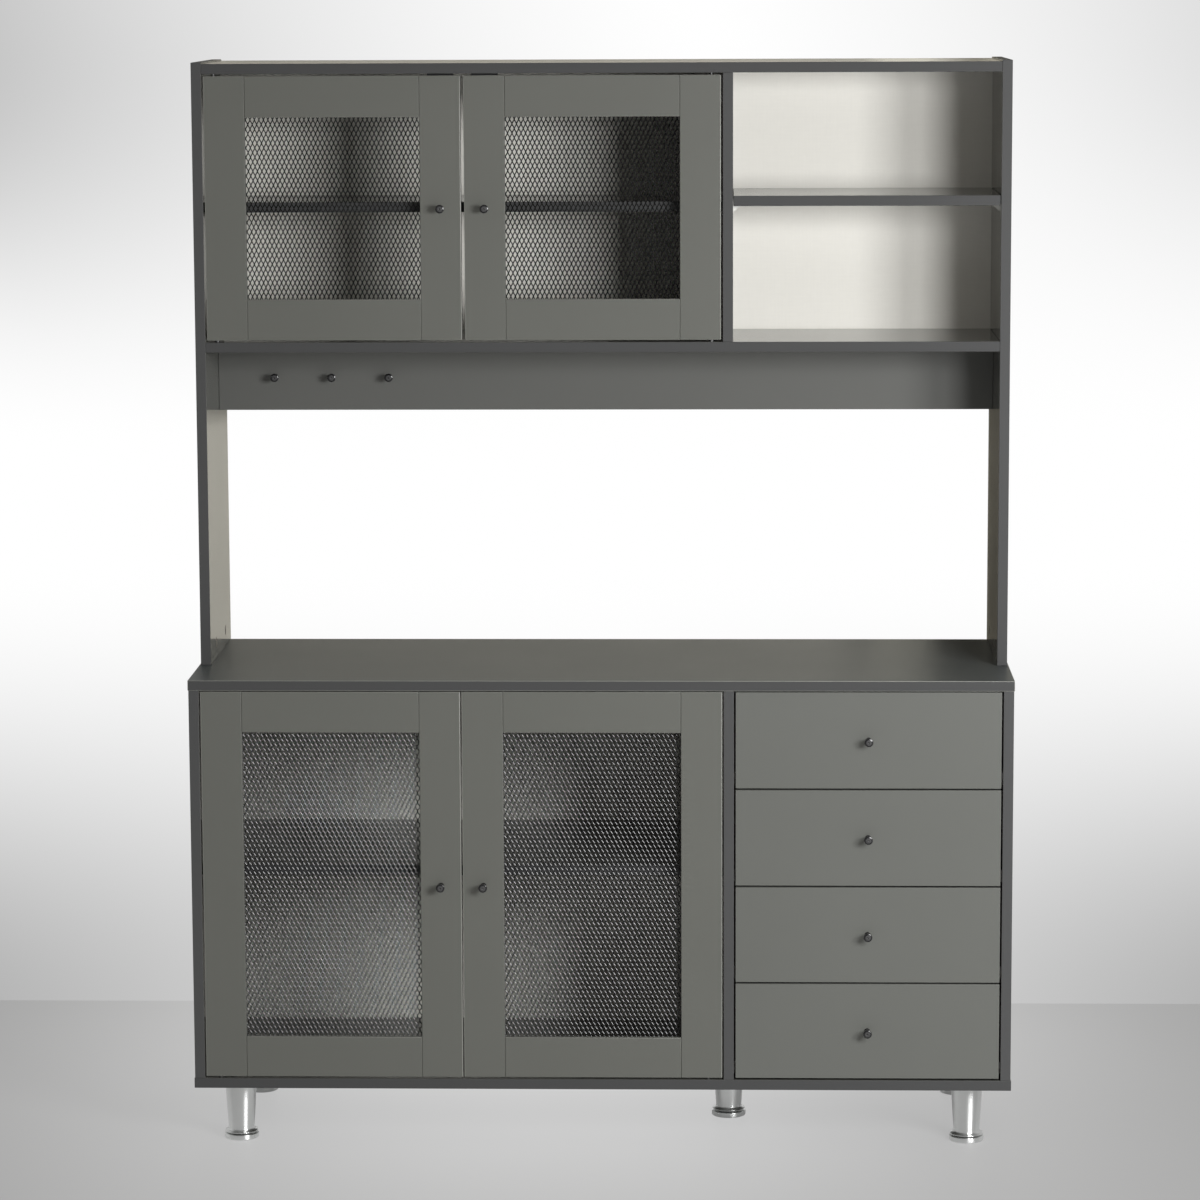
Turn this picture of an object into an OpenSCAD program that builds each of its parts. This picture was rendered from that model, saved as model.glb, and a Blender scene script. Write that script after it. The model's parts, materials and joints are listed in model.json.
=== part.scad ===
// Kitchen hutch: a low cupboard on legs with four drawers, and a shallower hutch on its counter.
// The frame: X to the right, Y to the rear, Z up, with the floor at Z = 0.

/* [Overall] */
// Width of the counter top
counter_w = 1200; // [1000:10:1500]
// Depth of the counter top
counter_d = 400; // [360:10:560]
// Height of the base cupboard, counter top and bottom panel included
base_h = 608; // [560:1:760]
// Height of the hutch, from the counter to the tops of its sides
hutch_h = 888.5; // [840:0.5:1100]
// Depth of the hutch, flush with the counter at the rear
hutch_d = 258; // [230:1:330]
// Thickness of the carcass boards
board_t = 15; // [14:0.5:18]

/* [Carcass] */
// How far the counter and the bottom panel stand past the base sides at each end
counter_overhang = 1; // [0:0.5:5]
// How far the hutch sides stand in from the counter's ends
hutch_inset = 2.5; // [0:0.5:10]
// Drop of the hutch's top panel below the tops of its sides
top_panel_drop = 2; // [0:0.5:8]
// Clear width of the bay on the right: the drawers below, the open shelves above
bay_w = 390; // [330:5:460]
// Clear height from the counter up to the hutch's floor board
serving_h = 465; // [400:5:500]
// Distance from the rear edges to the back of each back panel
back_recess = 20; // [12:1:35]
// Thickness of the back panels
back_t = 3; // [3:0.5:6]
// Depth of the grooves that hold the back panels
groove_depth = 6; // [4:0.5:8]

/* [Hook rail] */
// Height of the hook rail under the hutch's floor board
rail_h = 100; // [60:5:140]
// Distance from the hutch's front to the front face of the hook rail
rail_setback = 157; // [100:1:180]
// Number of hooks on the rail
hook_count = 3; // [1:1:6]
// Distance between hooks, and from the left side to the first one
hook_spacing = 86; // [60:1:120]

/* [Shelves] */
// Clear height below the shelf in the open bay
bay_shelf_clear = 198; // [140:1:240]
// Clear height below the shelf behind the hutch doors
hutch_shelf_clear = 189; // [140:1:240]
// Clear height below the shelf in the base cupboard
base_shelf_clear = 299; // [200:1:360]
// Distance from the hutch's front to the front of the open bay's shelf
bay_shelf_setback = 2; // [0:0.5:20]
// Play at each end of a loose shelf
shelf_play = 0.5; // [0.2:0.1:1.5]
// Width of a shelf support's wedge, along the shelf
support_w = 10; // [7:0.5:14]
// Height of a shelf support's wedge
support_h = 9; // [6:0.5:14]

/* [Doors] */
// Thickness of the doors and the drawer fronts
front_t = 16; // [15:0.5:19]
// Width of the door stiles and rails
stile_w = 60; // [50:1:75]
// Gap between a base door and the board beside it
base_side_gap = 2; // [1.6:0.1:3]
// Gap between a hutch door and the board beside it
hutch_side_gap = 2.6; // [1.6:0.1:4]
// Gap between the two base doors
base_meeting_gap = 2; // [1.5:0.1:5]
// Gap between the two hutch doors
hutch_meeting_gap = 4.7; // [1.5:0.1:7]
// Gap above the base doors and the top drawer front
base_top_gap = 1.5; // [1:0.1:4]
// Gap below the base doors and the bottom drawer front
base_bottom_gap = 3; // [1.5:0.1:5]
// Gap above and below the hutch doors
hutch_end_gap = 3; // [1.5:0.1:5]
// Clearance of a door's outer front corner to the board beside it as it swings
swing_clear = 0.5; // [0.3:0.1:0.8]
// Radius of the pivot pins at the top and bottom of each door
pin_r = 2.5; // [2:0.25:3]
// Radial clearance of a pivot pin in its bush
pin_clear = 0.08; // [0.04:0.01:0.1]

/* [Door mesh] */
// Distance from a door's front face to its mesh
mesh_setback = 8; // [5:0.5:10]
// Thickness of the expanded metal mesh
mesh_t = 1.5; // [1:0.1:2.5]
// Width of the rebate that holds the mesh
mesh_rebate = 8; // [6:0.5:12]
// Width of a mesh diamond, centre to centre
mesh_pitch_x = 32; // [30:1:60]
// Height of a mesh diamond, centre to centre
mesh_pitch_z = 64; // [60:1:120]
// Width of the metal between two diamonds
mesh_strand = 4; // [2:0.5:8]

/* [Drawers] */
// Gap between two drawer fronts
drawer_gap = 2.4; // [1.5:0.1:4]
// Gap at each side of a drawer front
drawer_side_gap = 2.4; // [1.5:0.1:4]
// Height of a drawer box
drawer_box_h = 100; // [70:1:105]
// Length of a drawer box behind its front
drawer_box_l = 340; // [260:5:350]
// Thickness of the drawer box sides and back
drawer_side_t = 12; // [10:0.5:15]
// Thickness of the drawer bottoms
drawer_bottom_t = 3; // [3:0.5:5]
// Space between a drawer box and the board beside it
runner_space = 13; // [12:0.5:16]
// Height of the runner's web on the cabinet side
runner_web = 18; // [12:1:20]
// Length of the runners
runner_l = 330; // [250:5:345]
// Thickness of the runner steel
runner_t = 1.2; // [1:0.1:1.6]

/* [Knobs] */
// How far the knobs stand out
knob_proud = 20; // [14:1:30]
// Radius of a knob's face
knob_r = 6.25; // [5:0.25:12]
// Radius of a knob's waist
knob_waist_r = 3.75; // [3.25:0.25:5]
// Radius of the screw that holds a knob or a hook
knob_screw_r = 2; // [1.5:0.25:2.5]

/* [Legs] */
// Height of the legs, from the floor to the bottom panel
leg_h = 90; // [70:1:160]
// Distance from the counter's edges to the middle of a corner leg
leg_inset = 61.5; // [45:0.5:90]
// Radius at the top of a leg
leg_top_r = 23.5; // [18:0.5:26]
// Radius at the bottom of a leg, above its flare
leg_bottom_r = 19; // [14:0.5:22]
// Radius of the adjustable foot
foot_r = 25.5; // [23:0.5:32]
// Height of the foot's disc
foot_h = 8; // [6:0.5:12]
// Height of the gap between the foot and the leg
foot_gap = 2; // [1:0.5:4]
// Height of the flare at the bottom of a leg
flare_h = 5; // [3:0.5:8]

/* [Hidden] */
$fn = 64;

// Small clearances between pieces that are fixed together
glue_line = 0.1;
fit_gap = 0.1;
groove_gap = 0.2;
shelf_clear = 1.5;

// Heights
base_z = leg_h;
base_floor_z = base_z + board_t;
counter_z = base_z + base_h;
counter_under_z = counter_z - board_t;
hutch_floor_z = counter_z + serving_h;
hutch_deck_z = hutch_floor_z + board_t;
hutch_end_z = counter_z + hutch_h;
hutch_top_z = hutch_end_z - top_panel_drop;
hutch_ceiling_z = hutch_top_z - board_t;

// Depths, with the origin midway between the knobs' faces and the rear edges
front_y = (knob_proud - counter_d) / 2;
rear_y = front_y + counter_d;
hutch_front_y = rear_y - hutch_d;
back_front_y = rear_y - back_recess - back_t;
rail_front_y = hutch_front_y + rail_setback;
mid_y = (front_y + rear_y) / 2;

// Widths
half_w = counter_w / 2;
base_out_x = half_w - counter_overhang;
base_in_x = base_out_x - board_t;
base_bay_x = base_in_x - bay_w;
base_part_x = base_bay_x - board_t;
hutch_out_x = half_w - hutch_inset;
hutch_in_x = hutch_out_x - board_t;
hutch_bay_x = hutch_in_x - bay_w;
hutch_part_x = hutch_bay_x - board_t;
base_meeting_x = (base_part_x - base_in_x) / 2;
hutch_meeting_x = (hutch_part_x - hutch_in_x) / 2;

// A door is its left and right edges, its bottom and top, its front face, the side its pivots are on, -1 for left,
// and the gaps beside, below and above it
upper_left = [
    -hutch_in_x + hutch_side_gap, hutch_meeting_x - hutch_meeting_gap / 2,
    hutch_deck_z + hutch_end_gap, hutch_ceiling_z - hutch_end_gap,
    hutch_front_y, -1, hutch_side_gap, hutch_end_gap, hutch_end_gap
];
upper_right = [
    hutch_meeting_x + hutch_meeting_gap / 2, hutch_part_x - hutch_side_gap,
    hutch_deck_z + hutch_end_gap, hutch_ceiling_z - hutch_end_gap,
    hutch_front_y, 1, hutch_side_gap, hutch_end_gap, hutch_end_gap
];
lower_left = [
    -base_in_x + base_side_gap, base_meeting_x - base_meeting_gap / 2,
    base_floor_z + base_bottom_gap, counter_under_z - base_top_gap,
    front_y, -1, base_side_gap, base_bottom_gap, base_top_gap
];
lower_right = [
    base_meeting_x + base_meeting_gap / 2, base_part_x - base_side_gap,
    base_floor_z + base_bottom_gap, counter_under_z - base_top_gap,
    front_y, 1, base_side_gap, base_bottom_gap, base_top_gap
];
base_doors = [lower_left, lower_right];
hutch_doors = [upper_left, upper_right];
doors = concat(base_doors, hutch_doors);

function left_x(d) = d[0];
function right_x(d) = d[1];
function bottom_z(d) = d[2];
function top_z(d) = d[3];
function face_y(d) = d[4];
function hand(d) = d[5];
function side_gap(d) = d[6];
function below_gap(d) = d[7];
function above_gap(d) = d[8];
function back_y(d) = face_y(d) + front_t;

// The pivot lies at the middle of the door's thickness, just far enough from the door's edge
// that the front corner clears the board beside it
pivot_depth = front_t / 2;
function pivot_inset(gap) = (pow(pivot_depth, 2) - pow(gap - swing_clear, 2)) / (2 * (gap - swing_clear));
function pivot_x(d) = hand(d) < 0 ? left_x(d) + pivot_inset(side_gap(d)) : right_x(d) - pivot_inset(side_gap(d));
function pivot_y(d) = face_y(d) + pivot_depth;
// How far behind its front face a door's edge reaches into the cupboard as it swings
function swing_reach(gap) = pivot_depth + norm([pivot_inset(gap), front_t - pivot_depth]);
base_shelf_y = front_y + swing_reach(base_side_gap) + shelf_clear;
hutch_shelf_y = hutch_front_y + swing_reach(hutch_side_gap) + shelf_clear;

bush_r = pin_r + 1.5;
bush_l = 8;
pin_in_bush = 6.5;
pin_in_door = 14;
collar_r = pin_r + 1.2;

// Knobs sit at the middle of a stile, on the side away from the pivots
function knob_x(d) = hand(d) < 0 ? right_x(d) - stile_w / 2 : left_x(d) + stile_w / 2;
function knob_z(d) = (bottom_z(d) + top_z(d)) / 2;
knob_screw_in = 10;
knob_hole = 12;
screw_head_r = knob_screw_r + 2;
screw_head_h = 2;

catch_w = 38;
catch_d = 12;
catch_h = 13;
catch_gap = 0.5;

// Drawers, numbered from the top
drawer_count = 4;
drawer_room = counter_under_z - base_floor_z - base_top_gap - base_bottom_gap;
drawer_front_h = (drawer_room - (drawer_count - 1) * drawer_gap) / drawer_count;
drawer_left_x = base_bay_x + drawer_side_gap;
drawer_right_x = base_in_x - drawer_side_gap;
drawer_mid_x = (base_bay_x + base_in_x) / 2;
function drawer_z(n) = counter_under_z - base_top_gap - n * drawer_front_h - (n - 1) * drawer_gap;
// The box stands over its runner and the runner's web over the board or drawer below
glide_t = 1.5;
glide_wrap = 14;
glide_play = 0.3;
box_lift = runner_web + glide_t + glide_play + 2.5;
box_left_x = base_bay_x + runner_space;
box_right_x = base_in_x - runner_space;
box_front_y = front_y + front_t;
box_rear_y = box_front_y + drawer_box_l;
bottom_lift = 8;
bottom_groove = 5;
function box_z(n) = drawer_z(n) + box_lift;
function runner_z(n) = box_z(n) - glide_t - glide_play;
runner_start = 3;
runner_flange = runner_space + drawer_side_t - 1;

// Legs
leg_x = half_w - leg_inset;
leg_front_y = front_y + leg_inset;
leg_rear_y = rear_y - leg_inset;
middle_leg_x = base_part_x + board_t / 2;
plate_t = 3;
plate_r = leg_top_r + 9;
leg_wall = 1.5;
flare_z = foot_h + foot_gap;
foot_stem_r = 4;
foot_stem_l = 16;
leg_screw_r = 1.9;
leg_screw_in = 11;
leg_screw_head_r = 3.2;
leg_screw_head_h = 1.8;
leg_screw_ring = leg_top_r + 4.5;
legs = [
    [-leg_x, leg_front_y], [leg_x, leg_front_y], [middle_leg_x, mid_y],
    [-leg_x, leg_rear_y], [leg_x, leg_rear_y]
];

// Shelves: left and right ends of the space, top face, front edge
base_shelf_z = base_floor_z + base_shelf_clear + board_t;
hutch_shelf_z = hutch_deck_z + hutch_shelf_clear + board_t;
bay_shelf_z = hutch_deck_z + bay_shelf_clear + board_t;
shelf_rear_y = back_front_y - 1;
support_pin_r = 2.5;
support_pin_in = 8;
support_d = 8;
support_inset = 30;
shelf_spaces = [
    [-base_in_x, base_part_x, base_shelf_z, base_shelf_y],
    [-hutch_in_x, hutch_part_x, hutch_shelf_z, hutch_shelf_y],
    [hutch_bay_x, hutch_in_x, bay_shelf_z, hutch_front_y + bay_shelf_setback]
];

// Cam fittings: a bolt in one board's face and a cam disc let into the next board near its end.
// Each is its point on the joint, the direction into the board that holds the disc, and the side the disc shows on.
cam_r = 7.5;
cam_t = 12;
cam_setback = 24;
bolt_r = 3;
bolt_tip_r = 2.5;
bolt_tip_l = 9;
bolt_hole_r = 3.5;
cam_mouth_r = 4;
base_fix_inset = 40;
hutch_fix_inset = 70;
rail_fix_inset = 25;
half_t = board_t / 2;
base_fix_ys = [front_y + base_fix_inset, rear_y - base_fix_inset];
hutch_fix_ys = [hutch_front_y + hutch_fix_inset, rear_y - hutch_fix_inset];
base_uprights = [
    [-base_out_x + half_t, 1],
    [base_part_x + half_t, -1],
    [base_out_x - half_t, -1]
];
base_fittings = [
    for (u = base_uprights, y = base_fix_ys, end = [-1, 1])
        [[u[0], y, end > 0 ? counter_under_z : base_floor_z], [0, 0, -end], [u[1], 0, 0]]
];
hutch_fittings = concat(
    [
        for (side = [-1, 1], y = hutch_fix_ys, z = [hutch_floor_z + half_t, hutch_ceiling_z + half_t])
            [[side * hutch_in_x, y, z], [-side, 0, 0], [0, 0, -1]]
    ],
    [
        for (y = hutch_fix_ys, end = [-1, 1])
            [[hutch_part_x + half_t, y, end > 0 ? hutch_ceiling_z : hutch_deck_z], [0, 0, -end], [-1, 0, 0]]
    ],
    [
        for (side = [-1, 1], z = [hutch_floor_z - rail_fix_inset, hutch_floor_z - rail_h + rail_fix_inset])
            [[side * hutch_in_x, rail_front_y + half_t, z], [-side, 0, 0], [0, 1, 0]]
    ]
);
counter_fittings = [
    for (side = [-1, 1], y = hutch_fix_ys)
        [[side * (hutch_out_x - half_t), y, counter_z], [0, 0, 1], [-side, 0, 0]]
];

// A block between two opposite corners
module block(low, high) {
    translate(low)
        cube(high - low);
}

// Children drawn with X along the first direction and Y along the second, at a point
module place(point, along, across) {
    third = cross(along, across);
    multmatrix([
        [along.x, across.x, third.x, point.x],
        [along.y, across.y, third.y, point.y],
        [along.z, across.z, third.z, point.z],
        [0, 0, 0, 1]
    ])
        children();
}

// A rod along X from a start to an end
module rod_x(start, end, r) {
    translate([start, 0, 0])
        rotate([0, 90, 0])
            cylinder(h = end - start, r = r);
}

// A rod along Y from a start to an end
module rod_y(start, end, r) {
    translate([0, start, 0])
        rotate([-90, 0, 0])
            cylinder(h = end - start, r = r);
}

// The holes that one cam fitting needs in the two boards it joins
module cam_bores() {
    rod_x(-bolt_tip_l - fit_gap, fit_gap, bolt_tip_r + fit_gap);
    rod_x(-fit_gap, cam_setback, bolt_hole_r);
    translate([cam_setback, 0, 0])
        rod_y(half_t - cam_t - fit_gap, half_t + 1, cam_r + fit_gap);
}

// One cam disc and its bolt
module cam_and_bolt() {
    union() {
        rod_x(-bolt_tip_l, 0, bolt_tip_r);
        rod_x(0, cam_setback - 2, bolt_r - 0.5);
        rod_x(cam_setback - 2, cam_setback + 1, bolt_r);
    }
    difference() {
        translate([cam_setback, 0, 0])
            rod_y(half_t - cam_t, half_t - fit_gap, cam_r);
        rod_x(0, cam_setback + 3, cam_mouth_r);
        // Cross slot for the screwdriver
        translate([cam_setback, half_t, 0]) {
            cube([9, 3, 1.4], center = true);
            cube([1.4, 3, 9], center = true);
        }
    }
}

module bores_for(fittings) {
    for (f = fittings)
        place(f[0], f[1], f[2])
            cam_bores();
}

// The groove round a back panel
module back_groove(low_x, high_x, low_z, high_z) {
    block(
        [low_x - groove_depth, back_front_y - groove_gap, low_z - groove_depth],
        [high_x + groove_depth, back_front_y + back_t + groove_gap, high_z + groove_depth]
    );
}

module base_groove() {
    back_groove(-base_in_x, base_in_x, base_floor_z, counter_under_z);
}

module hutch_groove() {
    back_groove(-hutch_in_x, hutch_in_x, hutch_deck_z, hutch_ceiling_z);
}

// The blind holes for the pins of the shelf supports
module support_holes() {
    for (s = shelf_spaces, y = [s[3] + support_inset, shelf_rear_y - support_inset], x = [s[0], s[1]])
        translate([x, y, s[2] - board_t - support_h / 2])
            rotate([0, 90, 0])
                cylinder(h = 2 * (support_pin_in + fit_gap), r = support_pin_r + fit_gap, center = true);
}

// The blind holes for the pivot bushes
module bush_holes(list) {
    for (d = list)
        for (z = [bottom_z(d) - below_gap(d), top_z(d) + above_gap(d)])
            translate([pivot_x(d), pivot_y(d), z])
                cylinder(h = 2 * (bush_l + fit_gap), r = bush_r + fit_gap, center = true);
}

// The holes for the screws that hold the legs
module leg_screw_holes() {
    for (p = legs, turn = [45:90:315])
        translate([p[0] + leg_screw_ring * cos(turn), p[1] + leg_screw_ring * sin(turn), base_z - 1])
            cylinder(h = 1 + leg_screw_in + fit_gap, r = leg_screw_r + fit_gap);
}

module counter_top() {
    color([0.40, 0.40, 0.38])
        difference() {
            block([-half_w, front_y, counter_under_z], [half_w, rear_y, counter_z]);
            base_groove();
            bores_for(base_fittings);
            bores_for(counter_fittings);
            bush_holes(base_doors);
        }
}

module base_side(side) {
    inner = side * base_in_x;
    outer = side * base_out_x;
    color([0.33, 0.33, 0.32])
        difference() {
            block([min(inner, outer), front_y, base_floor_z], [max(inner, outer), rear_y, counter_under_z]);
            base_groove();
            bores_for(base_fittings);
            support_holes();
        }
}

module base_left_side() {
    base_side(-1);
}

module base_right_side() {
    base_side(1);
}

module base_partition() {
    color([0.33, 0.33, 0.32])
        difference() {
            block([base_part_x, front_y, base_floor_z], [base_bay_x, back_front_y - groove_gap, counter_under_z]);
            bores_for(base_fittings);
            support_holes();
        }
}

module base_bottom_panel() {
    color([0.33, 0.33, 0.32])
        difference() {
            block([-half_w, front_y, base_z], [half_w, rear_y, base_floor_z]);
            base_groove();
            bores_for(base_fittings);
            bush_holes(base_doors);
            leg_screw_holes();
        }
}

module back_panel(low_x, high_x, low_z, high_z) {
    tongue = groove_depth - 0.5;
    color([0.87, 0.86, 0.82])
        block(
            [low_x - tongue, back_front_y, low_z - tongue],
            [high_x + tongue, back_front_y + back_t, high_z + tongue]
        );
}

module base_back_panel() {
    back_panel(-base_in_x, base_in_x, base_floor_z, counter_under_z);
}

module hutch_back_panel() {
    back_panel(-hutch_in_x, hutch_in_x, hutch_deck_z, hutch_ceiling_z);
}

// A loose shelf in one of the spaces
module shelf(space) {
    color([0.38, 0.38, 0.36])
        block(
            [space[0] + shelf_play, space[3], space[2] - board_t],
            [space[1] - shelf_play, shelf_rear_y, space[2]]
        );
}

module hutch_side(side) {
    inner = side * hutch_in_x;
    outer = side * hutch_out_x;
    color([0.33, 0.33, 0.32])
        difference() {
            block([min(inner, outer), hutch_front_y, counter_z], [max(inner, outer), rear_y, hutch_end_z]);
            hutch_groove();
            bores_for(hutch_fittings);
            bores_for(counter_fittings);
            support_holes();
        }
}

module hutch_left_side() {
    hutch_side(-1);
}

module hutch_right_side() {
    hutch_side(1);
}

module hutch_top_panel() {
    color([0.33, 0.33, 0.32])
        difference() {
            block([-hutch_in_x, hutch_front_y, hutch_ceiling_z], [hutch_in_x, rear_y, hutch_top_z]);
            hutch_groove();
            bores_for(hutch_fittings);
            bush_holes(hutch_doors);
        }
}

module hutch_floor_board() {
    color([0.33, 0.33, 0.32])
        difference() {
            block([-hutch_in_x, hutch_front_y, hutch_floor_z], [hutch_in_x, rear_y, hutch_deck_z]);
            hutch_groove();
            bores_for(hutch_fittings);
            bush_holes(hutch_doors);
        }
}

module hutch_partition() {
    color([0.33, 0.33, 0.32])
        difference() {
            block(
                [hutch_part_x, hutch_front_y, hutch_deck_z],
                [hutch_bay_x, back_front_y - groove_gap, hutch_ceiling_z]
            );
            bores_for(hutch_fittings);
            support_holes();
        }
}

// A turned knob standing out along -Y from a face at Y = 0, with its screw through a board behind it
module knob(board) {
    color([0.10, 0.10, 0.10])
        difference() {
            rotate([90, 0, 0])
                rotate_extrude()
                    polygon([
                        [0, 0], [knob_waist_r + 0.75, 0], [knob_waist_r, 1.5], [knob_waist_r, knob_proud * 0.45],
                        [knob_r, knob_proud * 0.85], [knob_r, knob_proud - 1], [knob_r - 1, knob_proud], [0, knob_proud]
                    ]);
            rod_y(-knob_hole, 1, knob_screw_r + fit_gap);
        }
    color([0.70, 0.70, 0.70])
        union() {
            rod_y(-knob_screw_in, board, knob_screw_r);
            rod_y(board, board + screw_head_h, screw_head_r);
        }
}

// Hooks along the rail, from the left
module at_hooks() {
    for (n = [1:hook_count])
        translate([-hutch_in_x + n * hook_spacing, rail_front_y, hutch_floor_z - rail_h / 2])
            children();
}

module hook_rail() {
    color([0.36, 0.36, 0.35])
        difference() {
            block(
                [-hutch_in_x, rail_front_y, hutch_floor_z - rail_h],
                [hutch_in_x, rail_front_y + board_t, hutch_floor_z]
            );
            bores_for(hutch_fittings);
            at_hooks()
                rod_y(-1, board_t + 1, knob_screw_r + fit_gap);
        }
}

module rail_hooks() {
    at_hooks()
        knob(board_t);
}

// A hollow tapered leg with its plate, and the foot that screws into it
module leg(point) {
    stem_hole_r = foot_stem_r + fit_gap;
    color([0.80, 0.82, 0.83])
        translate([point[0], point[1], 0])
            difference() {
                rotate_extrude()
                    polygon([
                        [stem_hole_r, flare_z], [foot_r - 1, flare_z], [foot_r - 1, flare_z + 1],
                        [leg_bottom_r, flare_z + flare_h], [leg_top_r, base_z - plate_t],
                        [plate_r, base_z - plate_t], [plate_r, base_z], [leg_top_r - leg_wall, base_z],
                        [leg_bottom_r - leg_wall, flare_z + flare_h], [stem_hole_r, flare_z + flare_h]
                    ]);
                for (turn = [45:90:315])
                    rotate(turn)
                        translate([leg_screw_ring, 0, base_z - plate_t - 1])
                            cylinder(h = plate_t + 2, r = leg_screw_r + 2 * fit_gap);
            }
    color([0.80, 0.82, 0.83])
        translate([point[0], point[1], 0])
            rotate_extrude()
                polygon([
                    [0, 0], [foot_r - 1, 0], [foot_r, 1], [foot_r, foot_h - 1], [foot_r - 1, foot_h],
                    [foot_stem_r, foot_h], [foot_stem_r, foot_h + foot_stem_l], [0, foot_h + foot_stem_l]
                ]);
}

module leg_screws() {
    color([0.75, 0.75, 0.72])
        for (p = legs, turn = [45:90:315])
            translate([
                p[0] + leg_screw_ring * cos(turn), p[1] + leg_screw_ring * sin(turn),
                base_z - plate_t - leg_screw_head_h
            ]) {
                cylinder(h = leg_screw_head_h, r = leg_screw_head_r);
                cylinder(h = leg_screw_head_h + plate_t + leg_screw_in, r = leg_screw_r);
            }
}

// Pins with a wedge that carries the shelf
module shelf_supports() {
    color([0.93, 0.93, 0.90])
        for (s = shelf_spaces, y = [s[3] + support_inset, shelf_rear_y - support_inset], inward = [1, -1])
            translate([inward > 0 ? s[0] : s[1], y, s[2] - board_t])
                scale([inward, 1, 1]) {
                    translate([0, support_d / 2, 0])
                        rotate([90, 0, 0])
                            linear_extrude(support_d)
                                polygon([[0, 0], [support_w, 0], [support_w, -1.5], [1.5, -support_h], [0, -support_h]]);
                    translate([0, 0, -support_h / 2])
                        rod_x(-support_pin_in, 0.5, support_pin_r);
                }
}

// Bent steel angles: the drawer rides on the flange, and the web hangs from it against the board
module drawer_runners() {
    low_y = box_front_y + runner_start;
    color([0.88, 0.88, 0.86])
        for (n = [1:drawer_count], inward = [1, -1])
            translate([inward > 0 ? base_bay_x : base_in_x, low_y, runner_z(n)])
                scale([inward, 1, 1])
                    union() {
                        block([0, 0, -runner_t], [runner_flange, runner_l, 0]);
                        block([0, 0, -runner_web], [runner_t, runner_l, 0]);
                    }
}

// Nylon bushes let into the boards above and below each door
module pivot_bushes() {
    color([0.92, 0.92, 0.90])
        for (d = doors, end = [-1, 1])
            translate([
                pivot_x(d), pivot_y(d),
                end < 0 ? bottom_z(d) - below_gap(d) - bush_l : top_z(d) + above_gap(d)
            ])
                difference() {
                    cylinder(h = bush_l, r = bush_r);
                    translate([0, 0, end < 0 ? bush_l - pin_in_bush - 0.5 : -1])
                        cylinder(h = pin_in_bush + 1.5, r = pin_r + pin_clear);
                }
}

// Magnetic catches under the board above each door, behind the stile with the knob
module door_catches() {
    color([0.88, 0.87, 0.83])
        for (d = doors)
            translate([knob_x(d), back_y(d) + catch_gap, top_z(d) + above_gap(d)])
                block([-catch_w / 2, 0, -catch_h], [catch_w / 2, catch_d, 0]);
}

module cam_fittings() {
    color([0.72, 0.72, 0.70])
        for (f = concat(base_fittings, hutch_fittings, counter_fittings))
            place(f[0], f[1], f[2])
                cam_and_bolt();
}

// The space of a door's mesh, grown by a clearance
module mesh_space(d, grow, depth) {
    block(
        [
            left_x(d) + stile_w - mesh_rebate - grow, face_y(d) + mesh_setback,
            bottom_z(d) + stile_w - mesh_rebate - grow
        ],
        [
            right_x(d) - stile_w + mesh_rebate + grow, face_y(d) + mesh_setback + depth,
            top_z(d) - stile_w + mesh_rebate + grow
        ]
    );
}

// Two full-height stiles with two rails between them, rebated at the back for the mesh
module door_frame(d) {
    color([0.43, 0.43, 0.41])
        difference() {
            union() {
                for (x = [left_x(d), right_x(d) - stile_w])
                    block([x, face_y(d), bottom_z(d)], [x + stile_w, back_y(d), top_z(d)]);
                for (z = [bottom_z(d), top_z(d) - stile_w])
                    block(
                        [left_x(d) + stile_w + glue_line, face_y(d), z],
                        [right_x(d) - stile_w - glue_line, back_y(d), z + stile_w]
                    );
            }
            mesh_space(d, groove_gap, front_t);
            for (z = [bottom_z(d), top_z(d)])
                translate([pivot_x(d), pivot_y(d), z])
                    cylinder(h = 2 * (pin_in_door + fit_gap), r = pin_r + fit_gap, center = true);
            translate([knob_x(d), face_y(d), knob_z(d)])
                rod_y(-1, front_t + 1, knob_screw_r + fit_gap);
        }
}

// A sheet of expanded metal with staggered diamonds
module door_mesh(d) {
    span_x = right_x(d) - left_x(d) - 2 * stile_w;
    span_z = top_z(d) - bottom_z(d) - 2 * stile_w;
    columns = ceil(span_x / mesh_pitch_x / 2);
    rows = ceil(span_z / mesh_pitch_z / 2);
    half_x = mesh_pitch_x / 2 - mesh_strand / 2;
    half_z = half_x * mesh_pitch_z / mesh_pitch_x;
    color([0.06, 0.06, 0.06])
        translate([(left_x(d) + right_x(d)) / 2, face_y(d) + mesh_setback + mesh_t, (bottom_z(d) + top_z(d)) / 2])
            rotate([90, 0, 0])
                linear_extrude(mesh_t)
                    difference() {
                        square([span_x + 2 * mesh_rebate, span_z + 2 * mesh_rebate], center = true);
                        intersection() {
                            square([span_x + 2, span_z + 2], center = true);
                            for (i = [-columns:columns], j = [-rows:rows], shift = [0, 0.5])
                                translate([(i + shift) * mesh_pitch_x, (j + shift) * mesh_pitch_z])
                                    polygon([[-half_x, 0], [0, -half_z], [half_x, 0], [0, half_z]]);
                        }
                    }
}

module door_knob(d) {
    translate([knob_x(d), face_y(d), knob_z(d)])
        knob(front_t);
}

// A pin at each end of the door; the lower one has a collar that rests on its bush
module door_pivots(d) {
    color([0.70, 0.70, 0.70])
        translate([pivot_x(d), pivot_y(d), 0]) {
            translate([0, 0, bottom_z(d) - below_gap(d) - pin_in_bush])
                cylinder(h = pin_in_bush + below_gap(d) + pin_in_door, r = pin_r);
            translate([0, 0, bottom_z(d) - below_gap(d) + fit_gap])
                cylinder(h = below_gap(d) - fit_gap, r = collar_r);
            translate([0, 0, top_z(d) - pin_in_door])
                cylinder(h = pin_in_door + above_gap(d) + pin_in_bush, r = pin_r);
        }
}

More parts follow.
